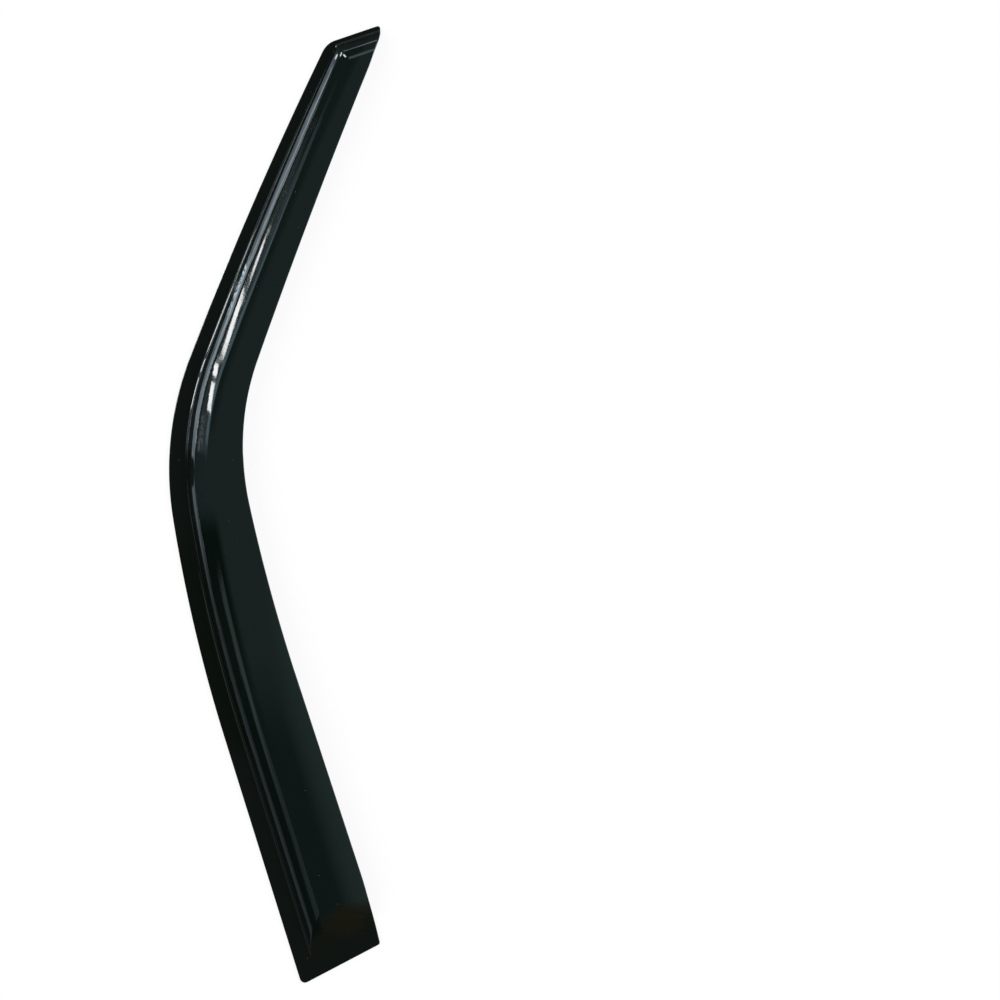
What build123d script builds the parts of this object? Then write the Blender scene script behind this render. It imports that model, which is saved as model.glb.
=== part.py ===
from build123d import *
import math
import os

os.makedirs("parts", exist_ok=True)

# Window rain deflector for a left front door, in millimetres.
# It lies face up: +X runs from the flanged edge to the free edge, +Y to the pointed tip, +Z out of the face.
# The origin is on the flange's back face, halfway across the flange at the elbow.

# Sheet and the step from the flange up to the blade
SHEET = 3.0
RISE = 15.0
FLANGE = 15.0
SHOULDER_RADIUS = 19.0
ROOT_RADIUS = 3.0
WALL_LEAN = 52.0

# Flanged edge, from the elbow's upright point along the pillar leg and along the roof leg
ELBOW_RADIUS = 291.0
ELBOW_TURN_UP = 21.1
ELBOW_TURN_DOWN = 9.1
PILLAR_RUN = 323.0
PILLAR_BOW = 3850.0
ROOF_BOW = 1476.0
ROOF_TURN = 8.25
ROOF_RUN = 244.0
PILLAR_TAPER = 0.75
ROOF_TAPER = 0.2

# Free edge, from its own upright point
WIDTH_AT_ELBOW = 70.4
FREE_OFFSET = 21.3
FREE_ELBOW_RADIUS = 245.0
FREE_TURN_UP = 19.4
FREE_TURN_DOWN = 12.15
FREE_PILLAR_RUN = 292.0
FREE_PILLAR_BOW = 6200.0
FREE_ROOF_BOW = 1630.0
FREE_ROOF_TURN = 6.0
FREE_ROOF_RUN = 192.0
TIP_CURL_RADIUS = 190.0
TIP_CURL_TURN = 30.0
TAIL_CURL_RADIUS = 500.0
TAIL_CURL_TURN = 4.3

# Closed ends
TIP_SLOPE = 18.8
TIP_FLANGE = 3.5
TAIL_SLOPE = 27.7
TAIL_FLANGE = 18.0
TAIL_RADIUS = 20.0
TAIL_LEAN = 34.0

# Rounding of corners and cut edges
TIP_OUTER_CORNER = 20.0
TAIL_OUTER_CORNER = 5.0
FREE_CORNER = 2.5
CUT_EDGE = 0.8

# Reach of the forming bodies past the piece
SPARE = 60.0
REACH = 1200.0

TOP = SHEET + RISE


def step_width(shoulder, root, lean):
    """Plan width of a step, from its shoulder line to its root line."""
    angle = math.radians(lean)
    wall = (RISE - (shoulder + root) * (1 - math.cos(angle))) / math.sin(angle)
    return (shoulder + root) * math.sin(angle) + wall * math.cos(angle)


def step_section(shoulder, root, lean, inset, inward):
    """Section under the sheet's face (inset 0) or under its back (inset SHEET), with the shoulder line at x = 0."""
    width = step_width(shoulder, root, lean)
    crest = CenterArc((0, TOP - shoulder), shoulder - inset, 90, -lean)
    foot = CenterArc((width, SHEET + root), root + inset, 270 - lean, lean)
    wall = Line(crest @ 1, foot @ 0)
    blade = Line((-inward, TOP - inset), crest @ 0)
    base = [(-inward, -SPARE), blade @ 0]
    if inset > 0:
        rim = Polyline(foot @ 1, (width, -SPARE), *base)
    else:
        rim = Polyline(foot @ 1, (width + SPARE, SHEET), (width + SPARE, -SPARE), *base)
    return make_face(Curve() + [blade, crest, wall, foot, rim])


def run_on(edge, length):
    """Straight run that carries an edge on past its end."""
    return Line(edge @ 1, (edge @ 1) + (edge % 1) * length)


# Flanged edge and the two end edges
elbow = Vector(-FLANGE / 2, 0)
elbow_up = JernArc(elbow, (0, 1), ELBOW_RADIUS, -ELBOW_TURN_UP)
pillar = JernArc(elbow_up @ 1, elbow_up % 1, PILLAR_BOW, -math.degrees(PILLAR_RUN / PILLAR_BOW))
elbow_down = JernArc(elbow, (0, -1), ELBOW_RADIUS, ELBOW_TURN_DOWN)
roof_bow = JernArc(elbow_down @ 1, elbow_down % 1, ROOF_BOW, ROOF_TURN)
roof = run_on(roof_bow, ROOF_RUN)
tip_along = Vector(1, 0).rotate(Axis.Z, TIP_SLOPE)
tail_along = Vector(1, 0).rotate(Axis.Z, TAIL_SLOPE)
tip_end = Line(pillar @ 1, (pillar @ 1) + tip_along * REACH)
tail_end = Line(roof @ 1, (roof @ 1) + tail_along * REACH)
beyond = Line(tip_end @ 1, tail_end @ 1)
flanged_side = make_face(Curve() + [roof, roof_bow, elbow_down, elbow_up, pillar, tip_end, beyond, tail_end])

# Free edge, which curls in a little where the blade comes down at both ends
free_elbow = elbow + Vector(WIDTH_AT_ELBOW, FREE_OFFSET)
free_up = JernArc(free_elbow, (0, 1), FREE_ELBOW_RADIUS, -FREE_TURN_UP)
free_pillar = JernArc(free_up @ 1, free_up % 1, FREE_PILLAR_BOW, -math.degrees(FREE_PILLAR_RUN / FREE_PILLAR_BOW))
tip_curl = JernArc(free_pillar @ 1, free_pillar % 1, TIP_CURL_RADIUS, TIP_CURL_TURN)
tip_past = run_on(tip_curl, 2 * SPARE)
free_down = JernArc(free_elbow, (0, -1), FREE_ELBOW_RADIUS, FREE_TURN_DOWN)
free_bow = JernArc(free_down @ 1, free_down % 1, FREE_ROOF_BOW, FREE_ROOF_TURN)
free_roof = run_on(free_bow, FREE_ROOF_RUN)
tail_curl = JernArc(free_roof @ 1, free_roof % 1, TAIL_CURL_RADIUS, -TAIL_CURL_TURN)
tail_past = run_on(tail_curl, 2 * SPARE)
free_edge = [tail_past, tail_curl, free_roof, free_bow, free_down, free_up, free_pillar, tip_curl, tip_past]
behind = Polyline(tip_past @ 1, (-REACH, (tip_past @ 1).Y), (-REACH, (tail_past @ 1).Y), tail_past @ 1)
free_side = make_face(Curve() + free_edge + [behind])


def free_corner(face, end_edge):
    """Corner where an end edge meets the free edge."""
    corners = [v for v in face.vertices() if end_edge.distance_to(v) < 0.01]
    return ShapeList(corners).sort_by_distance(end_edge @ 0)[-1].center()


def round_corner(face, point, radius):
    """Outline with the corner at a point rounded."""
    return fillet(face.vertices().sort_by_distance(point)[0], radius)


# Plan outline with its four corners rounded
outline = flanged_side & free_side
tip_point = free_corner(outline, tip_end)
tail_point = free_corner(outline, tail_end)
outline = round_corner(outline, tip_point, FREE_CORNER)
outline = round_corner(outline, tail_point, FREE_CORNER)
outline = round_corner(outline, pillar @ 1, TIP_OUTER_CORNER)
outline = round_corner(outline, roof @ 1, TAIL_OUTER_CORNER)

# Shoulder line of the long step; the flange narrows a little towards the tip and widens towards the tail
to_shoulder = FLANGE + step_width(SHOULDER_RADIUS, ROOT_RADIUS, WALL_LEAN)
shoulder = elbow + Vector(to_shoulder, 0)
shoulder_radius = ELBOW_RADIUS - to_shoulder
shoulder_up = JernArc(shoulder, (0, 1), ELBOW_RADIUS, PILLAR_TAPER - ELBOW_TURN_UP)
pillar_turn = math.degrees((PILLAR_RUN + SPARE) / PILLAR_BOW)
shoulder_pillar = JernArc(shoulder_up @ 1, shoulder_up % 1, PILLAR_BOW, -pillar_turn)
shoulder_down = JernArc(shoulder, (0, -1), shoulder_radius, ROOF_TAPER + ELBOW_TURN_DOWN)
shoulder_bow = JernArc(shoulder_down @ 1, shoulder_down % 1, ROOF_BOW, ROOF_TURN)
shoulder_roof = run_on(shoulder_bow, ROOF_RUN + SPARE)
shoulder_line = Wire([shoulder_roof, shoulder_bow, shoulder_down, shoulder_up, shoulder_pillar])


def long_form(inset):
    """Body under the long step, carried along the shoulder line."""
    along = (shoulder_roof % 1) * -1
    plane = Plane(origin=shoulder_roof @ 1, x_dir=along.rotate(Axis.Z, 90), z_dir=along)
    section = step_section(SHOULDER_RADIUS, ROOT_RADIUS, WALL_LEAN, inset, 2 * SPARE)
    return sweep(plane * section, path=shoulder_line)


def end_form(end_edge, side, flange, shoulder, root, lean, inset):
    """Body under the step of one end, straight along its end edge."""
    outward = (end_edge % 0).rotate(Axis.Z, 90 * side)
    start = (end_edge @ 0) - outward * (flange + step_width(shoulder, root, lean))
    plane = Plane(origin=start, x_dir=outward, z_dir=outward.cross(Vector(0, 0, 1)))
    return extrude(plane * step_section(shoulder, root, lean, inset, REACH), REACH, both=True)


def formed(inset):
    """Body under the whole face or under the whole back, its three steps mitred at the outer corners."""
    tip = end_form(tip_end, 1, TIP_FLANGE, SHOULDER_RADIUS, ROOT_RADIUS, WALL_LEAN, inset)
    tail = end_form(tail_end, -1, TAIL_FLANGE, TAIL_RADIUS, TAIL_RADIUS, TAIL_LEAN, inset)
    return long_form(inset) & tip & tail


def cut_edges(body):
    """Edges on both sides of the upright cut faces around the outline."""
    plain = [f for f in body.faces() if f.geom_type in (GeomType.PLANE, GeomType.CYLINDER)]
    upright = [f for f in plain if abs(f.normal_at(f.position_at(0.5, 0.5)).Z) < 0.0001]
    return [e for f in upright for e in f.edges() if abs((e % 0.5).Z) < 0.99]


# One formed sheet, trimmed to the outline, with its cut edges eased
trim = extrude(outline, TOP + SPARE)
sheet = (formed(0) & trim) - formed(SHEET)
deflector = fillet(cut_edges(sheet), CUT_EDGE).solids()[0]
deflector.label = "deflector"
export_step(deflector, "parts/deflector.step")
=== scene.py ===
"""Window rain deflector in smoke acrylic, dressed on its frame, with floor, light and camera."""

from __future__ import annotations

import logging
import math
from dataclasses import dataclass, field
from enum import Enum

import bpy
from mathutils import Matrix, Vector

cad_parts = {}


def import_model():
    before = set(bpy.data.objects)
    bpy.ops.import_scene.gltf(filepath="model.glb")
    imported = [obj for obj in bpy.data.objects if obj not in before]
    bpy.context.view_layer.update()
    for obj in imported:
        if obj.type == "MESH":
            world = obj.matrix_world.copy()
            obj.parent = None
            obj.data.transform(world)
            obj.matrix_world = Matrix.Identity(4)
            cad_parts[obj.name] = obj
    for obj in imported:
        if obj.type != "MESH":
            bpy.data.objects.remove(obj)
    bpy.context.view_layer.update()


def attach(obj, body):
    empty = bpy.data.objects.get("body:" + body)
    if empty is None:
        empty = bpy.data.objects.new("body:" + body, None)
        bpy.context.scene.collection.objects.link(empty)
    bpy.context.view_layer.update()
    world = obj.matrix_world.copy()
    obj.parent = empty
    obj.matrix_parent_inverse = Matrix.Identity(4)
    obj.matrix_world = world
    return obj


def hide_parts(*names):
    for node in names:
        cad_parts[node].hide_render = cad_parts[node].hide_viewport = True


Colour = tuple[float, float, float, float]
Triple = tuple[float, float, float]
Range = tuple[float, float]

LOG = logging.getLogger("rain_deflector")
MM = 0.001
INWARD = "inward"
LINES = "Guide lines"
BLACK: Colour = (0.0, 0.0, 0.0, 1.0)
WHITE: Colour = (1.0, 1.0, 1.0, 1.0)
NUDGE_MM = 0.5
SEARCH_MM: Range = (150.0, 620.0)
SEARCH_STEPS = 44
MORE_THAN_ONE_FACE = 1.5


class Side(Enum):
    """Side of the part that a light panel stands on, as the sign of its X direction."""

    FLANGED = -1.0
    FREE = 1.0


class Use(Enum):
    """What a light panel is there for."""

    LIGHT = "light on matt surfaces"
    MIRROR = "reflections in the face"
    BOTH = "both"


class Guide(Enum):
    """Long lines that the sheet's rows run between, in their order across the sheet."""

    OUTER = 0
    ROOT = 1
    SHOULDER = 2
    FREE = 3


# Node trees


@dataclass(frozen=True)
class Value:
    """Output socket of a node, whose arithmetic adds Math nodes to its tree."""

    nodes: Nodes
    socket: bpy.types.NodeSocket

    def __add__(self, other: Value | float) -> Value:
        """Sum of two values."""
        return self.nodes.math("ADD", self, other)

    def __radd__(self, other: float) -> Value:
        """Sum with a number in front."""
        return self.nodes.math("ADD", other, self)

    def __sub__(self, other: Value | float) -> Value:
        """Difference of two values."""
        return self.nodes.math("SUBTRACT", self, other)

    def __rsub__(self, other: float) -> Value:
        """Difference with a number in front."""
        return self.nodes.math("SUBTRACT", other, self)

    def __mul__(self, other: Value | float) -> Value:
        """Product of two values."""
        return self.nodes.math("MULTIPLY", self, other)

    def __rmul__(self, other: float) -> Value:
        """Product with a number in front."""
        return self.nodes.math("MULTIPLY", other, self)

    def __truediv__(self, other: Value | float) -> Value:
        """Quotient of two values."""
        return self.nodes.math("DIVIDE", self, other)

    def __rtruediv__(self, other: float) -> Value:
        """Quotient with a number in front."""
        return self.nodes.math("DIVIDE", other, self)

    def apply(self, operation: str, *others: Value | float) -> Value:
        """Result of a named Math operation on this value."""
        return self.nodes.math(operation, self, *others)

    def within(self, low: Value | float, high: Value | float) -> Value:
        """This value held between two bounds."""
        return self.apply("MAXIMUM", low).apply("MINIMUM", high)

    def rise(self, low: float, high: float) -> Value:
        """Smooth step from 0 at one value to 1 at another.

        Args:
            low: Value at which the step is 0.
            high: Value at which the step is 1; it may be the smaller of the two.

        Returns:
            The step's height.
        """
        ends = {0: self, 1: low, 2: high, 3: 0.0, 4: 1.0}
        return self.nodes.node("ShaderNodeMapRange", {"interpolation_type": "SMOOTHSTEP"}, ends)

    def span(self, low: float, high: float, blur: float) -> Value:
        """1 between two values and 0 outside them, with borders of twice a blur's width."""
        return self.rise(low - blur, low + blur) * self.rise(high + blur, high - blur)


@dataclass(frozen=True)
class Nodes:
    """Node tree that is filled by method calls and expressions."""

    tree: bpy.types.NodeTree

    @staticmethod
    def of(owner: bpy.types.Material | bpy.types.World) -> Nodes:
        """Emptied tree of a material or of the world.

        Args:
            owner: What the tree belongs to.

        Returns:
            The tree.
        """
        owner.use_nodes = True
        owner.node_tree.nodes.clear()
        return Nodes(owner.node_tree)

    def node(
        self,
        kind: str,
        settings: dict[str, object] | None = None,
        inputs: dict[str | int, object] | None = None,
        output: str | int = 0,
    ) -> Value:
        """Adds one node.

        Args:
            kind: Type of the node.
            settings: Properties of the node, set before its sockets.
            inputs: Values or links of its sockets, by name or by number.
            output: Output socket to hand back.

        Returns:
            The output socket.
        """
        made = self.tree.nodes.new(kind)
        for name, setting in (settings or {}).items():
            setattr(made, name, setting)
        for key, given in (inputs or {}).items():
            if isinstance(given, Value):
                self.tree.links.new(given.socket, made.inputs[key])
            else:
                made.inputs[key].default_value = given
        return Value(self, made.outputs[output] if made.outputs else made.inputs[0])

    def math(self, operation: str, *terms: Value | float) -> Value:
        """Math node on one to three values."""
        return self.node("ShaderNodeMath", {"operation": operation}, dict(enumerate(terms)))

    def vector(self, operation: str, *terms: object, output: str | int = 0) -> Value:
        """Vector Math node on one to three vectors."""
        settings = {"operation": operation}
        return self.node("ShaderNodeVectorMath", settings, dict(enumerate(terms)), output)

    def scaled(self, vector: Value, scale: Value | float) -> Value:
        """Vector times a value."""
        return self.node("ShaderNodeVectorMath", {"operation": "SCALE"}, {0: vector, "Scale": scale})

    def dot(self, first: object, second: object) -> Value:
        """Dot product of two vectors."""
        return self.vector("DOT_PRODUCT", first, second, output="Value")

    def distance(self, first: object, second: object) -> Value:
        """Distance between two points."""
        return self.vector("DISTANCE", first, second, output="Value")

    def axis(self, vector: Value, name: str) -> Value:
        """One component of a vector."""
        return self.node("ShaderNodeSeparateXYZ", None, {0: vector}, name)

    def mix_vector(self, factor: Value | float, start: object, end: object) -> Value:
        """Point between two points."""
        return self.node("ShaderNodeMix", {"data_type": "VECTOR"}, {0: factor, 4: start, 5: end}, 1)

    def mix_colour(self, factor: Value | float, start: object, end: object) -> Value:
        """Mix of two colours."""
        return self.node("ShaderNodeMix", {"data_type": "RGBA"}, {0: factor, 6: start, 7: end}, 2)

    def noise(self, place: Value, scale: float, detail: float) -> Value:
        """Noise at a place."""
        inputs = {"Vector": place, "Scale": scale, "Detail": detail}
        return self.node("ShaderNodeTexNoise", None, inputs)

    def ray(self, kind: str) -> Value:
        """1 for rays of a kind, such as Camera or Glossy, and 0 for others."""
        return self.node("ShaderNodeLightPath", None, None, f"Is {kind} Ray")

    def store(self, mesh: Value, domain: str, name: str, value: Value) -> Value:
        """Mesh with a named value stored on its points or edges."""
        inputs = {"Geometry": mesh, "Name": name, "Value": value}
        return self.node("GeometryNodeStoreNamedAttribute", {"domain": domain}, inputs)


# Plan lines


@dataclass(frozen=True)
class Run:
    """One run of a plan line, in millimetres.

    Attributes:
        length: Length along the run.
        radius: Radius of its bend, 0 where it is straight.
        inward: Whether it bends towards the free side of the sheet.
    """

    length: float
    radius: float = 0.0
    inward: bool = True

    @staticmethod
    def turn(radius: float, degrees: float, inward: bool = True) -> Run:
        """Run that turns by an angle."""
        return Run(radius * math.radians(degrees), radius, inward)

    def beside(self, outward: float) -> Run:
        """Parallel run, moved outward from an inward bend."""
        radius = self.radius + outward
        return Run(self.length * radius / self.radius, radius, self.inward) if self.radius else self


@dataclass(frozen=True)
class PlanLine:
    """Long line of the plan, which runs both ways from its upright point at the elbow.

    Attributes:
        upright: Point where the line runs straight up the plan.
        to_tip: Runs towards the tip.
        to_tail: Runs towards the tail.
    """

    upright: Range
    to_tip: tuple[Run, ...]
    to_tail: tuple[Run, ...]

    def at(self, distance: float) -> Vector:
        """Point at a distance along the line.

        Args:
            distance: Millimetres from the upright point, negative towards the tail.

        Returns:
            The point, in millimetres.
        """
        way = 1.0 if distance >= 0 else -1.0
        runs = self.to_tip if distance >= 0 else self.to_tail
        x, y = self.upright
        heading = way * math.pi / 2
        left = abs(distance)
        for index, run in enumerate(runs):
            step = left if index == len(runs) - 1 else min(left, run.length)
            if run.radius:
                bend = (-way if run.inward else way) / run.radius
                turned = heading + bend * step
                x += (math.sin(turned) - math.sin(heading)) / bend
                y -= (math.cos(turned) - math.cos(heading)) / bend
                heading = turned
            else:
                x += math.cos(heading) * step
                y += math.sin(heading) * step
            left -= step
            if left <= 0:
                break
        return Vector((x, y, 0.0))

    def outward(self, distance: float) -> Vector:
        """Direction to the flanged side, at a distance along the line."""
        along = (self.at(distance + NUDGE_MM) - self.at(distance - NUDGE_MM)).normalized()
        return Vector((-along.y, along.x, 0.0))

    def beside(self, outward: float) -> PlanLine:
        """Parallel line, moved towards the flanged side."""
        tip, tail = (tuple(run.beside(outward) for run in way) for way in (self.to_tip, self.to_tail))
        return PlanLine((self.upright[0] - outward, self.upright[1]), tip, tail)


@dataclass(frozen=True)
class EndEdge:
    """Straight end edge of the sheet.

    Attributes:
        corner: Outer corner that it starts from.
        outward: Direction out of the sheet.
        way: 1 for the tip, -1 for the tail.
    """

    corner: Vector
    outward: Vector
    way: float

    @staticmethod
    def of(line: PlanLine, slope: float, way: float) -> EndEdge:
        """End edge at one end of the flanged edge.

        Args:
            line: The flanged edge.
            slope: Slope of the end edge, in degrees.
            way: 1 for the tip, -1 for the tail.

        Returns:
            The edge.
        """
        reach = sum(run.length for run in (line.to_tip if way > 0 else line.to_tail))
        turn = math.radians(slope)
        return EndEdge(line.at(way * reach), Vector((-math.sin(turn), math.cos(turn), 0.0)) * way, way)

    def depth(self, point: Vector) -> float:
        """Distance of a point inward from this edge."""
        return -(point - self.corner).dot(self.outward)

    def cross(self, line: PlanLine, depth: float) -> float:
        """Where a long line is at a depth inward from this edge, found by halving a range.

        Args:
            line: Line that is crossed.
            depth: Distance inward from the edge, in millimetres.

        Returns:
            Distance along the line.
        """
        near, far = SEARCH_MM
        for _ in range(SEARCH_STEPS):
            middle = (near + far) / 2
            if self.depth(line.at(self.way * middle)) > depth:
                near = middle
            else:
                far = middle
        return self.way * near


@dataclass(frozen=True)
class RoundCorner:
    """Rounded corner: the centre of its arc and the outward normals of the two edges."""

    centre: Vector
    first: Vector
    second: Vector

    @staticmethod
    def between(corner: Vector, first: Vector, second: Vector, radius: float) -> RoundCorner:
        """Corner of a radius between two edges, given by their outward normals."""
        middle = (first + second).normalized()
        return RoundCorner(corner - middle * (radius / middle.dot(first)), first, second)


# Finishes


@dataclass(frozen=True)
class Band:
    """Soft band of painted shade that follows the shoulder line, or of painted light along the free
    edge, in metres.

    Attributes:
        share: Strength of the painted shade, or light, where the band is full.
        inward: Distances inward from the shoulder line where it is gone and full.
        along: Places along the part where it is gone and full, for each of its ends.
    """

    share: float
    inward: Range
    along: tuple[Range, ...]

    def mask(self, inward: Value, along: Value) -> Value:
        """Strength of the painted shade, or light, at a distance from the shoulder line and a place
        along the part.
        """
        full = self.share * inward.rise(*self.inward)
        return math.prod((along.rise(*end) for end in self.along), start=full)


@dataclass(frozen=True)
class SmokeAcrylic:
    """Dark smoke acrylic with a moulded gloss, and painted light and shade in its colour, in metres.

    Attributes:
        blade: Colour of the sheet where light comes up behind it.
        blade_shade: Painted shade: colour of the roof leg's blade beside its step, where less light
            comes up under it.
        blade_shade_band: Where that painted shade shows.
        rim: Painted light: colour of the roof leg's blade along its free edge, where light comes up
            under it.
        rim_light_band: Where that painted light shows.
        flange: Painted shade: colour of the sheet where it lies on what carries it and little light
            comes up behind it.
        roof_flange: The same painted shade along the roof leg.
        roof_ends: Places along the part where that colour is gone and full, at both ends.
        lit_heights: Heights between which the flange's painted shade turns into the blade's painted
            light.
        clouding: How much that turn varies from place to place.
        crest: Painted shade: colour of the long step's shoulder, away from the elbow.
        crest_shade_bands: Where that painted shade shows.
        crest_heights: Heights between which it comes in.
        warm: Colour of the warm light that comes through at the tail.
        warm_spot: Middle of that light.
        warm_slope: Slope of the long way of that light, in degrees.
        warm_reach: Distances from its middle where it is gone and full.
        warm_squeeze: Distance that is added for each metre across its long way.
        warm_ragged: Width in which its border wanders.
        dust: Colour of the fine dust.
        dust_size: Distances from a grain's middle where it is gone and full.
        dust_rarity: Values of the noise between which grains come in.
        dust_cover: Share of the sheet's colour that a grain hides.
        dust_rough: Roughness that a grain adds.
        smear_cut: Values of the noise between which smears come in.
        smear_rough: Roughness that a smear adds.
        gloss: Roughness of the clean face.
    """

    blade: Colour = (0.0080, 0.0133, 0.0118, 1.0)
    blade_shade: Colour = (0.0033, 0.0067, 0.0057, 1.0)
    blade_shade_band: Band = Band(1.0, (0.032, 0.018), ((-0.16, -0.27),))
    rim: Colour = (0.0113, 0.0195, 0.0177, 1.0)
    rim_light_band: Band = Band(0.8, (0.028, 0.043), ((-0.09, -0.18),))
    flange: Colour = (0.0037, 0.0054, 0.0041, 1.0)
    roof_flange: Colour = (0.0023, 0.0036, 0.0022, 1.0)
    roof_ends: tuple[Range, Range] = ((-0.03, -0.11), (-0.285, -0.245))
    lit_heights: Range = (0.004, 0.0165)
    clouding: float = 0.28
    crest: Colour = (0.0007, 0.0023, 0.0014, 1.0)
    crest_shade_bands: tuple[Band, ...] = (
        Band(0.5, (0.007, 0.0005), ((0.02, 0.06),)),
        Band(0.95, (0.007, 0.0005), ((-0.03, -0.065), (-0.32, -0.10))),
        Band(0.85, (-0.001, -0.006), ((-0.09, -0.13),)),
    )
    crest_heights: Range = (0.008, 0.013)
    warm: Colour = (0.0072, 0.0075, 0.0046, 1.0)
    warm_spot: Triple = (0.161, -0.422, 0.012)
    warm_slope: float = 27.7
    warm_reach: Range = (0.030, 0.009)
    warm_squeeze: float = 0.5
    warm_ragged: float = 0.02
    dust: Colour = (0.055, 0.060, 0.058, 1.0)
    dust_size: Range = (0.085, 0.05)
    dust_rarity: Range = (0.62, 0.70)
    dust_cover: float = 0.8
    dust_rough: float = 0.4
    smear_cut: Range = (0.45, 0.8)
    smear_rough: float = 0.05
    gloss: float = 0.03

    def tint(self, nodes: Nodes, place: Value, cloud: Value) -> Value:
        """Colour of the clean sheet, with painted light and shade that follow its height and the
        shoulder line.

        Args:
            nodes: Tree of the material.
            place: Place on the sheet.
            cloud: Noise that varies the light behind the sheet.

        Returns:
            The colour.
        """
        along, height = nodes.axis(place, "Y"), nodes.axis(place, "Z")
        inward = nodes.node("ShaderNodeAttribute", {"attribute_name": INWARD}, None, "Fac")
        # Painted shade on the roof leg's blade beside its step.
        blade = nodes.mix_colour(self.blade_shade_band.mask(inward, along), self.blade, self.blade_shade)
        # Painted light along the roof leg's free edge, where light comes up under the blade.
        blade = nodes.mix_colour(self.rim_light_band.mask(inward, along), blade, self.rim)
        # Painted shade on the flange, painted light on the blade where light comes up behind it.
        first, last = self.roof_ends
        roof = along.rise(*first) * along.rise(*last)
        flange = nodes.mix_colour(roof, self.flange, self.roof_flange)
        lit = height.rise(*self.lit_heights) * (1.0 + self.clouding * (cloud - 0.5))
        # Painted shade along the long step's shoulder.
        crest: Value | float = 0.0
        for band in self.crest_shade_bands:
            crest = band.mask(inward, along).apply("MAXIMUM", crest)
        crest = crest * height.rise(*self.crest_heights)
        return nodes.mix_colour(crest, nodes.mix_colour(lit, flange, blade), self.crest)

    def material(self) -> bpy.types.Material:
        """Builds the material.

        Returns:
            The material, named for the finish.
        """
        made = bpy.data.materials.new("smoke_acrylic_gloss")
        nodes = Nodes.of(made)
        place = nodes.node("ShaderNodeTexCoord", None, None, "Object")
        cloud = nodes.noise(place, scale=22.0, detail=3.0)
        smear = nodes.noise(place, scale=60.0, detail=4.0).rise(*self.smear_cut)
        peel = nodes.noise(place, scale=260.0, detail=1.0)
        specks = {"Vector": place, "Scale": 170.0, "Randomness": 1.0}
        speck = nodes.node("ShaderNodeTexVoronoi", None, specks).rise(*self.dust_size)
        dust = speck * nodes.noise(place, scale=90.0, detail=1.0).rise(*self.dust_rarity)
        tint = self.tint(nodes, place, cloud)
        slope = math.radians(self.warm_slope)
        up = Vector((-math.sin(slope), math.cos(slope), 0.0))
        across = (nodes.dot(place, up) - up.dot(Vector(self.warm_spot))).apply("ABSOLUTE")
        away = nodes.distance(place, self.warm_spot) + self.warm_squeeze * across
        warmth = (away + (cloud - 0.5) * self.warm_ragged).rise(*self.warm_reach)
        warmed = nodes.mix_colour(warmth, tint, self.warm)
        colour = nodes.mix_colour(dust * self.dust_cover, warmed, self.dust)
        rough = self.gloss + smear * self.smear_rough + dust * self.dust_rough
        waves = {"Strength": 0.015, "Distance": 0.0002, "Height": peel}
        bump = nodes.node("ShaderNodeBump", None, waves)
        inputs = {"Base Color": colour, "Roughness": rough, "Normal": bump, "IOR": 1.49}
        shader = nodes.node("ShaderNodeBsdfPrincipled", None, inputs)
        nodes.node("ShaderNodeOutputMaterial", None, {"Surface": shader})
        return made


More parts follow.
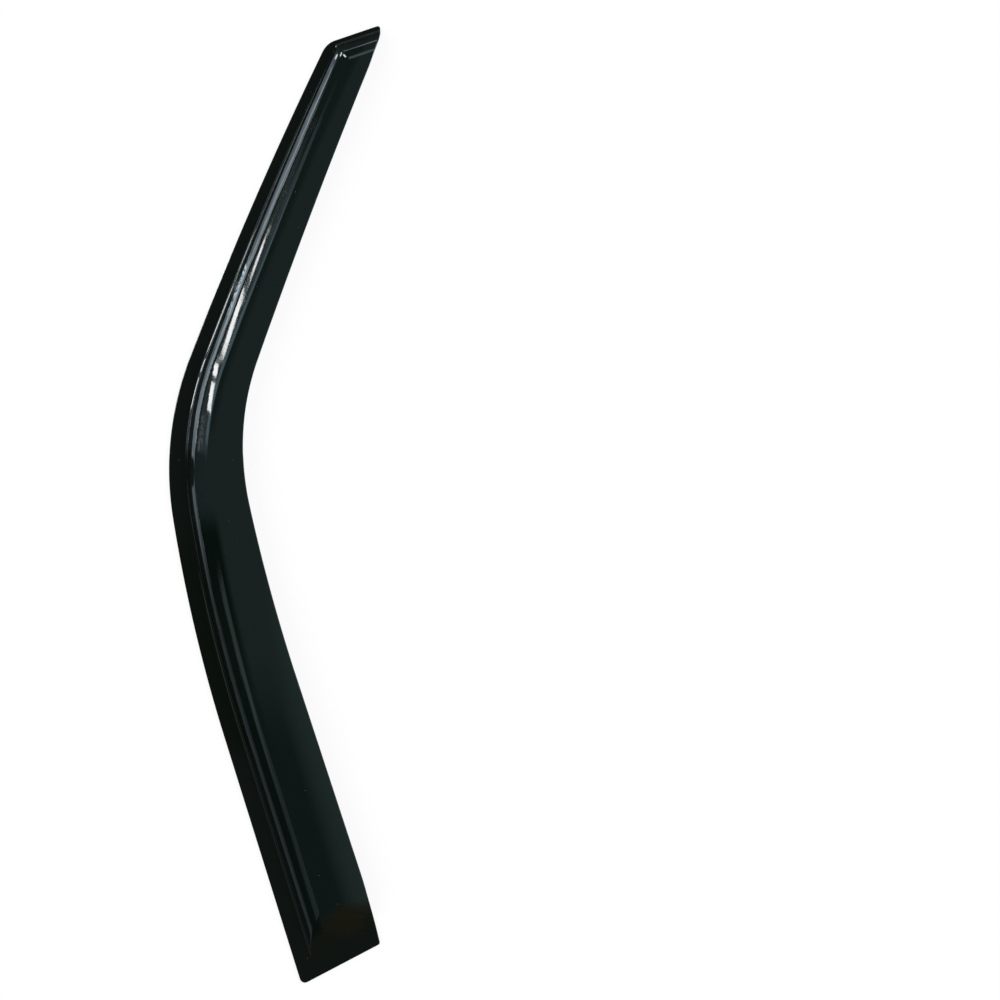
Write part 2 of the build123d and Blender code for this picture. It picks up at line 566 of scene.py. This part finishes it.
@dataclass(frozen=True)
class PaleFloor:
    """Matt pale floor that stays white where the part throws no shade, and glows with painted light that
    only the part's face mirrors, in metres.

    Attributes:
        colour: Colour of the matt floor.
        lift: Share of plain white in what is seen of it.
        shine: Brightest painted glow that the part's face mirrors from it.
        levels: Shares of that shine beside the roof leg, more at the elbow, more at the pillar leg.
        elbow_from: Places along the part between which the elbow's share comes in.
        pillar_from: The same for the pillar leg's share.
        patches: Least share of the shine in its patches, and what the noise adds.
        dull: Range along the part where nothing is mirrored, and the blur of its borders.
        edge: Point on the pillar leg's flanged edge.
        heading: Heading of that leg from +Y, in degrees.
        strip: Width of the painted shadow beside that leg, a dark strip in the glow, and the blur of its
            border.
        strip_from: Places along the part between which the strip comes in.
        strip_depth: Share of the shine that it takes.
        mottled: Range along the part where the strip is broken, and the blur of its borders.
        mottled_from: Distances outward from the flanged edge between which the breaks come in.
        mottled_cut: Values of the noise between which they come in.
        mottled_gain: Share of the shine that they add.
        tip_from: Places along the part between which the shine goes at the tip.
        tip_depth: Share of the shine that goes there.
        glint: Painted glint: bright spot in the glow that is mirrored beside the tip.
        glint_size: Distances from its middle where it is gone and full.
    """

    colour: Colour = (0.93, 0.93, 0.93, 1.0)
    lift: float = 0.9
    shine: Colour = (8.6, 10.4, 11.8, 1.0)
    levels: Triple = (0.032, 0.085, 0.24)
    elbow_from: Range = (-0.14, -0.03)
    pillar_from: Range = (-0.03, 0.14)
    patches: Range = (0.2, 1.6)
    dull: Triple = (-0.019, 0.013, 0.003)
    edge: Range = (0.012, 0.1048)
    heading: float = 23.5
    strip: Range = (0.022, 0.004)
    strip_from: Range = (0.05, 0.11)
    strip_depth: float = 0.6
    mottled: Triple = (0.160, 0.208, 0.008)
    mottled_from: Range = (-0.03, -0.02)
    mottled_cut: Range = (0.42, 0.58)
    mottled_gain: float = 1.2
    tip_from: Range = (0.391, 0.409)
    tip_depth: float = 0.95
    glint: Triple = (0.122, 0.403, 0.0)
    glint_size: Range = (0.004, 0.0015)

    def glow(self, nodes: Nodes) -> Value:
        """Share of the brightest painted glow: strong beside the pillar leg, weak beside the roof leg.

        Args:
            nodes: Tree of the floor's material.

        Returns:
            The share.
        """
        place = nodes.node("ShaderNodeTexCoord", None, None, "Object")
        along = nodes.axis(place, "Y")
        roof, elbow, pillar = self.levels
        level = roof + elbow * along.rise(*self.elbow_from) + pillar * along.rise(*self.pillar_from)
        turn = math.radians(self.heading)
        outward = Vector((-math.cos(turn), math.sin(turn), 0.0))
        away = nodes.dot(place, outward) - outward.dot(Vector((*self.edge, 0.0)))
        grain = nodes.noise(place, scale=220.0, detail=2.0).rise(*self.mottled_cut)
        broken = along.span(*self.mottled) * grain * away.rise(*self.mottled_from)
        width, blur = self.strip
        strip = away.rise(width + blur, width - blur) * along.rise(*self.strip_from) * (1.0 - broken)
        bare = (1.0 - along.span(*self.dull)) * (1.0 - self.strip_depth * strip)
        bare = bare * (1.0 - self.tip_depth * along.rise(*self.tip_from))
        least, more = self.patches
        patch = least + more * nodes.noise(place, scale=45.0, detail=2.0)
        glint = nodes.distance(place, self.glint).rise(*self.glint_size)
        return level * bare * patch * (1.0 + self.mottled_gain * broken) + glint

    def material(self) -> bpy.types.Material:
        """Builds the floor's material.

        Returns:
            The material, named for the finish.
        """
        made = bpy.data.materials.new("pale_floor")
        nodes = Nodes.of(made)
        matt = nodes.node("ShaderNodeBsdfDiffuse", None, {"Color": self.colour})
        seen, through, shine = (nodes.ray(kind) for kind in ("Camera", "Transmission", "Glossy"))
        # Painted glow that only glossy rays see: the highlights that the part's face mirrors.
        mirrored = nodes.mix_colour(self.glow(nodes), BLACK, self.shine)
        shown = nodes.mix_colour(shine, WHITE, mirrored)
        plain = nodes.node("ShaderNodeEmission", None, {"Color": shown, "Strength": 1.0})
        share = ((seen + through) * self.lift + shine).within(0.0, 1.0)
        mixed = nodes.node("ShaderNodeMixShader", None, {0: share, 1: matt, 2: plain})
        nodes.node("ShaderNodeOutputMaterial", None, {"Surface": mixed})
        return made


# The part


@dataclass
class RainDeflector:
    """Left front-door deflector: flange, step and blade in one sheet, in millimetres and degrees."""

    # Sheet and step
    sheet: float = 3.0
    rise: float = 15.0
    flange: float = 15.0
    shoulder_radius: float = 19.0
    root_radius: float = 3.0
    wall_lean: float = 52.0

    # Flanged edge
    elbow_radius: float = 291.0
    elbow_up: float = 21.1
    elbow_down: float = 9.1
    pillar_run: float = 323.0
    pillar_bow: float = 3850.0
    pillar_taper: float = 0.75
    roof_bow: float = 1476.0
    roof_turn: float = 8.25
    roof_run: float = 244.0
    roof_taper: float = 0.2

    # Free edge
    width: float = 70.4
    free_offset: float = 21.3
    free_radius: float = 245.0
    free_up: float = 19.4
    free_down: float = 12.15
    free_pillar_run: float = 292.0
    free_pillar_bow: float = 6200.0
    free_roof_bow: float = 1630.0
    free_roof_turn: float = 6.0
    free_roof_run: float = 192.0
    tip_curl: float = 190.0
    tip_curl_turn: float = 30.0
    tail_curl: float = 500.0
    tail_curl_turn: float = 4.3

    # Closed ends
    tip_slope: float = 18.8
    tip_flange: float = 3.5
    tail_slope: float = 27.7
    tail_flange: float = 18.0
    tail_radius: float = 20.0
    tail_lean: float = 34.0

    # Corners, cut edges and waviness
    tip_corner: float = 20.0
    tail_corner: float = 5.0
    free_corner: float = 2.5
    hip_softness: float = 4.0
    cut_edge: float = 0.6
    wave: float = 0.008
    wave_scale: float = 38.0

    # Rows across the sheet and columns along it; at an end those of flange, step and blade
    flange_rows: int = 10
    step_rows: int = 44
    blade_rows: int = 8
    row_gap: float = 1.0
    tip_columns: tuple[int, int, int] = (3, 40, 2)
    tail_columns: tuple[int, int, int] = (13, 28, 2)
    middle_columns: int = 230
    past_tip: float = 4.0
    past_tail: float = 5.0
    datum_reach: tuple[int, int] = (-560, 520)
    finish: SmokeAcrylic = field(default_factory=SmokeAcrylic)

    @staticmethod
    def step_width(rise: float, shoulder: float, root: float, lean: float) -> float:
        """Plan width of a step from its shoulder line to its root line."""
        sine, cosine, radii = math.sin(math.radians(lean)), math.cos(math.radians(lean)), shoulder + root
        return radii * sine + (rise - radii * (1 - cosine)) * cosine / sine

    def long_width(self) -> float:
        """Plan width of the long step and of the tip's step."""
        return self.step_width(self.rise, self.shoulder_radius, self.root_radius, self.wall_lean)

    def tail_width(self) -> float:
        """Plan width of the tail's ramp."""
        return self.step_width(self.rise, self.tail_radius, self.tail_radius, self.tail_lean)

    def flanged_edge(self) -> PlanLine:
        """Outer edge of the flange.

        Returns:
            The line.
        """
        to_tip = (Run.turn(self.elbow_radius, self.elbow_up), Run(self.pillar_run, self.pillar_bow))
        bow = Run.turn(self.roof_bow, self.roof_turn)
        to_tail = (Run.turn(self.elbow_radius, self.elbow_down), bow, Run(self.roof_run))
        return PlanLine((-self.flange / 2, 0.0), to_tip, to_tail)

    def shoulder_line(self) -> PlanLine:
        """Line where the blade turns down into the long step.

        Returns:
            The line.
        """
        inset = self.flange + self.long_width()
        up = Run.turn(self.elbow_radius, self.elbow_up - self.pillar_taper)
        down = Run.turn(self.elbow_radius - inset, self.elbow_down + self.roof_taper)
        bow = Run.turn(self.roof_bow, self.roof_turn)
        to_tip = (up, Run(self.pillar_run, self.pillar_bow))
        return PlanLine((inset - self.flange / 2, 0.0), to_tip, (down, bow, Run(self.roof_run)))

    def free_edge(self) -> PlanLine:
        """Free edge of the blade, which curls at both ends.

        Returns:
            The line.
        """
        curl = Run.turn(self.tip_curl, self.tip_curl_turn, inward=False)
        pillar = Run(self.free_pillar_run, self.free_pillar_bow)
        to_tip = (Run.turn(self.free_radius, self.free_up), pillar, curl)
        bow = Run.turn(self.free_roof_bow, self.free_roof_turn)
        hook = Run.turn(self.tail_curl, self.tail_curl_turn, inward=False)
        down = Run.turn(self.free_radius, self.free_down)
        to_tail = (down, bow, Run(self.free_roof_run), hook, Run(self.roof_run))
        return PlanLine((self.width - self.flange / 2, self.free_offset), to_tip, to_tail)

    def tip_edge(self) -> EndEdge:
        """Short end edge at the tip."""
        return EndEdge.of(self.flanged_edge(), self.tip_slope, 1.0)

    def tail_edge(self) -> EndEdge:
        """End edge at the tail."""
        return EndEdge.of(self.flanged_edge(), self.tail_slope, -1.0)

    @staticmethod
    def stations(*zones: tuple[float, int]) -> list[float]:
        """Depths inward from an end edge.

        Args:
            zones: Width and number of columns of each zone, from the edge inward.

        Returns:
            The depths, from 0 on.
        """
        depths = [0.0]
        for width, count in zones:
            start = depths[-1]
            depths += [start + width * (index + 1) / count for index in range(count)]
        return depths

    def columns(self, line: PlanLine) -> list[Vector]:
        """Points of one guide line, a column each, from the tip to the tail.

        Args:
            line: The guide line.

        Returns:
            Points in millimetres, close together on the end steps.
        """
        tip, tail = self.tip_edge(), self.tail_edge()
        tip_zones = (self.tip_flange, self.long_width(), self.past_tip)
        tail_zones = (self.tail_flange, self.tail_width(), self.past_tail)
        at_tip = self.stations(*zip(tip_zones, self.tip_columns))
        at_tail = self.stations(*zip(tail_zones, self.tail_columns))
        upper = [tip.cross(line, depth) for depth in at_tip]
        lower = [tail.cross(line, depth) for depth in reversed(at_tail)]
        gap, parts = lower[0] - upper[-1], self.middle_columns + 1
        between = [upper[-1] + gap * part / parts for part in range(1, parts)]
        return [line.at(place) for place in upper + between + lower]

    def guides(self) -> list[list[Vector]]:
        """Columns of the four guide lines, the shoulder's kept clear of the free edge at the tip.

        Returns:
            Points of each line, in the order of the guides.
        """
        shoulder = self.shoulder_line()
        lines = (self.flanged_edge(), shoulder.beside(self.long_width()), shoulder, self.free_edge())
        outer, root, top, free = (self.columns(line) for line in lines)
        kept = []
        for start, point, end in zip(outer, top, free):
            along = (end - start).normalized()
            over = (point - end).dot(along) + self.blade_rows * self.row_gap
            kept.append(point - along * max(0.0, over))
        return [outer, root, kept, free]

    def corners(self) -> list[RoundCorner]:
        """The four rounded corners of the plan.

        Returns:
            The corners, those of the tip first.
        """
        made = []
        free, outer = self.free_edge(), self.flanged_edge()
        ends = ((self.tip_edge(), self.tip_corner), (self.tail_edge(), self.tail_corner))
        for end, radius in ends:
            for line, turn, size in ((outer, 1.0, radius), (free, -1.0, self.free_corner)):
                place = end.cross(line, 0.0)
                outward = line.outward(place) * turn
                made.append(RoundCorner.between(line.at(place), end.outward, outward, size))
        return made

    def guide_mesh(self) -> tuple[bpy.types.Mesh, int]:
        """Mesh that the node tree reads: guide points, then a line outside the step to measure from.

        Returns:
            The mesh and the number of columns.
        """
        guides = self.guides()
        points = [point * MM for guide in guides for point in guide]
        count = len(points)
        datum = self.shoulder_line().beside(self.long_width() + self.flange)
        first, last = self.datum_reach
        points += [datum.at(float(place)) * MM for place in range(first, last + 1)]
        edges = [(index, index + 1) for index in range(count, len(points) - 1)]
        mesh = bpy.data.meshes.new("guide_lines")
        mesh.from_pydata(points, edges, [])
        return mesh, len(guides[0])

    @staticmethod
    def step_drop(depth: Value, rise: Value, shoulder: Value, root: Value, lean: Value) -> Value:
        """Drop of a step below the blade.

        Args:
            depth: Distance outward from the shoulder line.
            rise: Height of the step.
            shoulder: Radius of the shoulder.
            root: Radius of the root.
            lean: Lean of the wall, as an angle from the blade.

        Returns:
            The drop at that distance.
        """
        sine, cosine = lean.apply("SINE"), lean.apply("COSINE")
        crest, foot = shoulder * sine, root * sine
        wall = (rise - (shoulder + root) * (1.0 - cosine)) * cosine / sine
        on_crest = depth.within(0.0, crest)
        on_wall = (depth - crest).within(0.0, wall)
        to_foot = foot - (depth - crest - wall).within(0.0, foot)
        drop = shoulder - (shoulder * shoulder - on_crest * on_crest).apply("SQRT")
        drop = drop + on_wall * sine / cosine
        return drop + (root * root - to_foot * to_foot).apply("SQRT") - root * cosine

    @staticmethod
    def soft_lower(first: Value, second: Value, base: Value, rise: Value, softness: Value) -> Value:
        """Lower of two step heights, with the hip between them softened on the slope."""
        share = ((first.apply("MINIMUM", second) - base) / rise).within(0.0, 1.0)
        return first.apply("SMOOTH_MIN", second, softness * 4.0 * share * (1.0 - share))

    @staticmethod
    def round_off(nodes: Nodes, plan: Value, corner: RoundCorner) -> Value:
        """Plan point drawn in to a rounded corner, where it lies in the corner's arc.

        Args:
            nodes: The tree.
            plan: Plan point.
            corner: The corner.

        Returns:
            The point.
        """
        centre = corner.centre * MM
        middle = (corner.first + corner.second).normalized()
        arm = nodes.vector("SUBTRACT", plan, centre)
        way = nodes.vector("NORMALIZE", arm)
        inside = nodes.dot(way, middle).apply("GREATER_THAN", middle.dot(corner.first))
        pull = nodes.dot(way, corner.first).apply("MAXIMUM", nodes.dot(way, corner.second))
        return nodes.vector("ADD", nodes.scaled(arm, 1.0 - inside * (1.0 - pull)), centre)

    @staticmethod
    def beyond(nodes: Nodes, plan: Value, end: EndEdge, depth: float) -> Value:
        """Distance of a plan point outward from a line at a depth inside an end edge."""
        inset = end.corner.dot(end.outward) - depth
        return nodes.dot(plan, end.outward) - inset * MM

    def sockets(self, tree: bpy.types.NodeTree, columns: int) -> dict[str, object]:
        """Args:
            tree: The tree.
            columns: Number of columns along the sheet.

        Returns:
            The value of each input by socket identifier.
        """
        sizes = {
            "Sheet": self.sheet * MM,
            "Rise": self.rise * MM,
            "Shoulder radius": self.shoulder_radius * MM,
            "Root radius": self.root_radius * MM,
            "Wall lean": math.radians(self.wall_lean),
            "Tail radius": self.tail_radius * MM,
            "Tail lean": math.radians(self.tail_lean),
            "Hip softness": self.hip_softness * MM,
            "Wave": self.wave * MM,
            "Row gap": self.row_gap * MM,
        }
        counts = {
            "Columns": columns,
            "Flange rows": self.flange_rows,
            "Step rows": self.step_rows,
            "Blade rows": self.blade_rows,
        }
        finish = {"Finish": self.finish.material()}
        tree.interface.new_socket(LINES, in_out="INPUT", socket_type="NodeSocketGeometry")
        tree.interface.new_socket("Face", in_out="OUTPUT", socket_type="NodeSocketGeometry")
        values: dict[str, object] = {}
        for kind, group in (("Float", sizes), ("Int", counts), ("Material", finish)):
            for name, value in group.items():
                made = tree.interface.new_socket(name, in_out="INPUT", socket_type=f"NodeSocket{kind}")
                values[made.identifier] = value
        return values

    def plan(self, nodes: Nodes, given: dict[str, Value], rows: Value) -> Value:
        """Plan point of each point of the grid, between the guide lines.

        Args:
            nodes: The tree.
            given: Inputs of the tree by name.
            rows: Number of rows of the grid.

        Returns:
            The point, at height 0.
        """
        spot = nodes.node("GeometryNodeInputPosition")
        column = ((nodes.axis(spot, "X") + 0.5) * (given["Columns"] - 1.0)).apply("ROUND")
        row = ((nodes.axis(spot, "Y") + 0.5) * (rows - 1.0)).apply("ROUND")
        points = {}
        for guide in Guide:
            place = {0: given[LINES], 1: spot, "Index": column + given["Columns"] * float(guide.value)}
            points[guide] = nodes.node("GeometryNodeSampleIndex", {"data_type": "FLOAT_VECTOR"}, place)
        on_flange = (row / given["Flange rows"]).within(0.0, 1.0)
        on_step = ((row - given["Flange rows"]) / given["Step rows"]).within(0.0, 1.0)
        to_edge = (rows - 1.0 - row).within(0.0, given["Blade rows"])
        blade = nodes.distance(points[Guide.SHOULDER], points[Guide.FREE])
        spare = blade - given["Blade rows"] * given["Row gap"]
        share = to_edge / given["Blade rows"]
        on_blade = 1.0 - (to_edge * given["Row gap"] + spare * share * share) / blade
        plan = nodes.mix_vector(on_flange, points[Guide.OUTER], points[Guide.ROOT])
        plan = nodes.mix_vector(on_step, plan, points[Guide.SHOULDER])
        plan = nodes.mix_vector(on_blade, plan, points[Guide.FREE])
        for corner in self.corners():
            plan = self.round_off(nodes, plan, corner)
        return plan

    def height(self, nodes: Nodes, given: dict[str, Value], plan: Value, inward: Value) -> Value:
        """Height of the face: the lowest of the long step and both end steps, a little wavy.

        Args:
            nodes: The tree.
            given: Inputs of the tree by name.
            plan: Plan point.
            inward: Distance inward from the shoulder line.

        Returns:
            The height.
        """
        sheet, rise = given["Sheet"], given["Rise"]
        steep = (rise, given["Shoulder radius"], given["Root radius"], given["Wall lean"])
        ramp = (rise, given["Tail radius"], given["Tail radius"], given["Tail lean"])
        at_tip = self.beyond(nodes, plan, self.tip_edge(), self.tip_flange + self.long_width())
        at_tail = self.beyond(nodes, plan, self.tail_edge(), self.tail_flange + self.tail_width())
        top = sheet + rise
        height = top - self.step_drop(0.0 - inward, *steep)
        for drop in (self.step_drop(at_tip, *steep), self.step_drop(at_tail, *ramp)):
            height = self.soft_lower(height, top - drop, sheet, rise, given["Hip softness"])
        ripple = nodes.noise(plan, scale=self.wave_scale, detail=1.0)
        above = ((height - sheet) / rise).within(0.0, 1.0)
        return height + (ripple - 0.5) * given["Wave"] * above

    def shell_tree(self, columns: int) -> tuple[bpy.types.NodeTree, dict[str, object]]:
        """Builds the tree that shapes the sheet's face from its guide lines.

        Args:
            columns: Number of columns along the sheet.

        Returns:
            The tree, and the value of each of its inputs by socket identifier.
        """
        tree = bpy.data.node_groups.new("deflector_face", "GeometryNodeTree")
        values = self.sockets(tree, columns)
        nodes = Nodes(tree)
        group = nodes.node("NodeGroupInput").socket.node
        given = {socket.name: Value(nodes, socket) for socket in group.outputs if socket.name}
        rows = given["Flange rows"] + given["Step rows"] + given["Blade rows"] + 1.0
        size = {"Size X": 1.0, "Size Y": 1.0, "Vertices X": given["Columns"], "Vertices Y": rows}
        grid = nodes.node("GeometryNodeMeshGrid", None, size)
        plan = self.plan(nodes, given, rows)
        datum = {0: given[LINES], "Sample Position": plan}
        away = nodes.node("GeometryNodeProximity", {"target_element": "EDGES"}, datum, "Distance")
        inward = away - (self.flange + self.long_width()) * MM
        lift = nodes.node("ShaderNodeCombineXYZ", None, {"Z": self.height(nodes, given, plan, inward)})
        placed = nodes.vector("ADD", plan, lift)
        ruled = nodes.store(grid, "POINT", INWARD, inward)
        shaped = nodes.node("GeometryNodeSetPosition", None, {"Geometry": ruled, "Position": placed})
        smooth = nodes.node("GeometryNodeSetShadeSmooth", None, {0: shaped})
        sides = nodes.node("GeometryNodeInputMeshEdgeNeighbors")
        on_rim = sides.apply("LESS_THAN", MORE_THAN_ONE_FACE)
        rimmed = nodes.store(smooth, "EDGE", "bevel_weight_edge", on_rim)
        real = nodes.node("GeometryNodeRealizeInstances", None, {0: rimmed})
        dressed = nodes.node("GeometryNodeSetMaterial", None, {0: real, "Material": given["Finish"]})
        nodes.node("NodeGroupOutput", None, {0: dressed})
        return tree, values

    def build(self) -> bpy.types.Object:
        """Makes the sheet as one plain mesh.

        Returns:
            The sheet's object.
        """
        mesh, columns = self.guide_mesh()
        maker = bpy.data.objects.new("deflector_maker", mesh)
        bpy.context.scene.collection.objects.link(maker)
        tree, values = self.shell_tree(columns)
        shaper = maker.modifiers.new("face", "NODES")
        shaper.node_group = tree
        for identifier, value in values.items():
            shaper[identifier] = value
        wall = maker.modifiers.new("sheet", "SOLIDIFY")
        wall.thickness = self.sheet * MM
        wall.offset = -1.0
        ease = maker.modifiers.new("cut_edges", "BEVEL")
        ease.width = self.cut_edge * MM
        ease.segments = 2
        ease.limit_method = "WEIGHT"
        ease.use_clamp_overlap = False
        ease.harden_normals = True
        ready = maker.evaluated_get(bpy.context.evaluated_depsgraph_get())
        plain = bpy.data.meshes.new_from_object(ready)
        plain.name = "deflector_sheet"
        bpy.data.objects.remove(maker)
        bpy.data.meshes.remove(mesh)
        sheet = bpy.data.objects.new("deflector_sheet", plain)
        bpy.context.scene.collection.objects.link(sheet)
        return sheet

    def dress(self, sheet: bpy.types.Object) -> None:
        """Hangs the sheet on the frame in place of its solid.

        Args:
            sheet: The sheet's object.
        """
        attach(sheet, "root")
        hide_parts("deflector")


# Floor, light and camera


@dataclass
class Floor:
    """Plain floor under the part, in metres."""

    half: float = 9.0
    drop: float = 0.0004
    finish: PaleFloor = field(default_factory=PaleFloor)

    def build(self) -> None:
        """Makes the floor."""
        corners = ((-1, -1), (1, -1), (1, 1), (-1, 1))
        points = [(x * self.half, y * self.half, -self.drop) for x, y in corners]
        mesh = bpy.data.meshes.new("floor")
        mesh.from_pydata(points, [], [(0, 1, 2, 3)])
        mesh.materials.append(self.finish.material())
        floor = bpy.data.objects.new("floor", mesh)
        bpy.context.scene.collection.objects.link(floor)


@dataclass(frozen=True)
class Panel:
    """Soft light panel, far off.

    Attributes:
        bearing: Range of its bearing from its side's X direction towards +Y, in degrees.
        lift: Range of its height above the horizon, in degrees.
        colour: Colour times strength.
        blur: Blur of its borders in bearing and in lift, in degrees.
        slant: Change of its lift for each degree of bearing.
        broken: Whether it is broken into flecks.
        side: Side of the part that it stands on.
        use: What it is there for.
    """

    bearing: Range
    lift: Range
    colour: Triple
    blur: Range = (2.0, 2.0)
    slant: float = 0.0
    broken: bool = False
    side: Side = Side.FLANGED
    use: Use = Use.MIRROR

    def mask(self, bearing: Value, lift: Value, flecks: Value) -> Value:
        """How much of the panel is seen in a direction.

        Args:
            bearing: Bearing of the direction.
            lift: Height of the direction above the horizon.
            flecks: How much of a broken panel is seen there.

        Returns:
            The share, from 0 to 1.
        """
        across, upright = self.blur
        shown = bearing.span(*self.bearing, across)
        if self.slant:
            lift = lift - (bearing - sum(self.bearing) / 2) * self.slant
        if self.broken:
            shown = shown * flecks
        return shown * lift.span(*self.lift, upright)


@dataclass
class Studio:
    """Soft light from panels far off, over a dim room.

    Attributes:
        room: Colour of the dim room.
        backdrop: Colour that is seen past the floor.
        fleck_grain: Flecks for each degree of bearing and of lift.
        fleck_cut: Values of the noise between which flecks come in.
        ragged: Width in which the panels' borders wander, in degrees of lift.
        ragged_from: Lifts between which the borders begin to wander.
        panels: The panels, each over those before it.
    """

    room: Colour = (0.030, 0.045, 0.048, 1.0)
    backdrop: Colour = WHITE
    fleck_grain: Range = (2.5, 0.06)
    fleck_cut: Range = (0.45, 0.6)
    ragged: float = 20.0
    ragged_from: Range = (86.0, 74.0)
    panels: tuple[Panel, ...] = (
        # Two lamps
        Panel((-45.0, 55.0), (25.0, 60.0), (3.3, 3.3, 3.3), (6.0, 6.0), side=Side.FREE, use=Use.BOTH),
        Panel((-60.0, 60.0), (20.0, 60.0), (2.6, 2.6, 2.6), (6.0, 6.0), use=Use.LIGHT),
        # Tail's ramp
        Panel((-84.0, -52.0), (8.0, 66.0), (0.06, 0.05, 0.03), (8.0, 14.0), side=Side.FREE),
        # Pillar leg's shoulder: soft bands, flecks and bright streaks
        Panel((3.6, 26.5), (16.0, 79.0), (0.33, 0.42, 0.46), (0.8, 3.0)),
        Panel((6.0, 30.0), (65.0, 80.0), (1.2, 1.8, 2.2), (1.5, 2.5)),
        Panel((24.2, 29.3), (52.0, 70.0), (0.52, 0.64, 0.72), (1.0, 3.0)),
        Panel((3.8, 10.2), (26.0, 50.0), (1.5, 1.75, 1.85), (0.6, 4.0), broken=True),
        Panel((11.4, 16.45), (43.0, 67.0), (22.0, 22.3, 22.6), (0.1, 1.5), -2.5),
        Panel((17.5, 19.75), (26.0, 52.0), (22.0, 22.3, 22.6), (0.08, 1.5), -5.0),
        Panel((21.0, 22.52), (27.0, 55.0), (22.0, 22.3, 22.6), (0.03, 1.5), -14.0),
        Panel((23.12, 24.0), (28.0, 45.0), (20.0, 20.3, 20.6), (0.03, 1.5), -10.0),
        # Horizon, which the root mirrors
        Panel((4.6, 26.8), (-6.0, 5.0), (3.6, 4.2, 4.5), (1.0, 2.0)),
        Panel((-11.5, -4.6), (-6.0, 4.0), (0.9, 1.0, 1.05), (1.0, 2.0)),
        Panel((-30.0, -13.5), (-8.0, 8.0), (0.20, 0.27, 0.27), (1.0, 2.0)),
        # Roof leg's shoulder
        Panel((-22.5, -12.4), (58.0, 81.0), (0.52, 0.68, 0.68), (1.0, 5.0)),
        Panel((-34.0, -22.5), (48.0, 80.0), (0.26, 0.34, 0.34), (1.0, 5.0)),
        # Tip's hip and step
        Panel((30.0, 44.0), (1.0, 8.0), (16.0, 16.2, 16.5), (1.0, 1.0)),
        Panel((38.0, 50.0), (20.0, 40.0), (16.0, 16.2, 16.5), (1.0, 2.0)),
        Panel((60.0, 84.0), (50.0, 63.0), (1.1, 1.35, 1.45), (4.0, 3.0)),
        Panel((60.0, 84.0), (-4.0, 4.0), (2.6, 3.0, 3.2), (4.0, 2.0)),
    )

    def sky(self, nodes: Nodes, use: Use) -> Value:
        """Colour of the room in a direction.

        Args:
            nodes: Tree of the world.
            use: Which of the panels to show.

        Returns:
            The colour.
        """
        way = nodes.node("ShaderNodeTexCoord", None, None, "Generated")
        across, along, up = (nodes.axis(way, name) for name in "XYZ")
        lift = up.within(-1.0, 1.0).apply("ARCSINE") * math.degrees(1.0)
        bearings = {
            side: along.apply("ARCTAN2", across * side.value) * math.degrees(1.0) for side in Side
        }
        by_bearing, by_lift = self.fleck_grain
        grid = {"X": bearings[Side.FLANGED] * by_bearing, "Y": lift * by_lift}
        spot = nodes.node("ShaderNodeCombineXYZ", None, grid)
        fleck = nodes.noise(spot, scale=1.0, detail=2.0)
        flecks = fleck.rise(*self.fleck_cut)
        if use is Use.MIRROR:
            lift = lift + (fleck - 0.5) * lift.rise(*self.ragged_from) * self.ragged
        colour: object = self.room
        for panel in self.panels:
            if panel.use in (use, Use.BOTH):
                shown = panel.mask(bearings[panel.side], lift, flecks)
                colour = nodes.mix_colour(shown, colour, (*panel.colour, 1.0))
        return colour

    def light(self) -> None:
        """Builds the world: lamps for matt surfaces, panels for the gloss, white for the camera."""
        world = bpy.data.worlds.new("studio")
        bpy.context.scene.world = world
        nodes = Nodes.of(world)
        soft = nodes.node("ShaderNodeBackground", None, {"Color": self.sky(nodes, Use.LIGHT)})
        mirrored = nodes.node("ShaderNodeBackground", None, {"Color": self.sky(nodes, Use.MIRROR)})
        plain = nodes.node("ShaderNodeBackground", None, {"Color": self.backdrop})
        shine, seen = nodes.ray("Glossy"), nodes.ray("Camera")
        lit = nodes.node("ShaderNodeMixShader", None, {0: shine, 1: soft, 2: mirrored})
        mixed = nodes.node("ShaderNodeMixShader", None, {0: seen, 1: lit, 2: plain})
        nodes.node("ShaderNodeOutputWorld", None, {"Surface": mixed})


@dataclass
class PhotoCamera:
    """Long lens above the photograph's middle: lens in millimetres, centre and frame in metres."""

    centre: Range = (0.3041, -0.0290)
    frame: float = 0.9418
    lens: float = 200.0
    clip: float = 10.0

    def build(self) -> None:
        """Makes the camera and gives it to the scene."""
        data = bpy.data.cameras.new("photo_camera")
        data.lens = self.lens
        distance = self.frame * self.lens / data.sensor_width
        data.clip_end = distance * self.clip
        camera = bpy.data.objects.new("photo_camera", data)
        camera.location = (*self.centre, distance)
        bpy.context.scene.collection.objects.link(camera)
        bpy.context.scene.camera = camera


def main() -> None:
    """Builds the part, its floor, light and camera."""
    logging.basicConfig(level=logging.INFO, format="%(name)s: %(message)s")
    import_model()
    bpy.context.scene.view_settings.view_transform = "Standard"
    PhotoCamera().build()
    Studio().light()
    Floor().build()
    part = RainDeflector()
    sheet = part.build()
    part.dress(sheet)
    LOG.info("%s: %d faces", sheet.name, len(sheet.data.polygons))


if __name__ == "__main__":
    main()
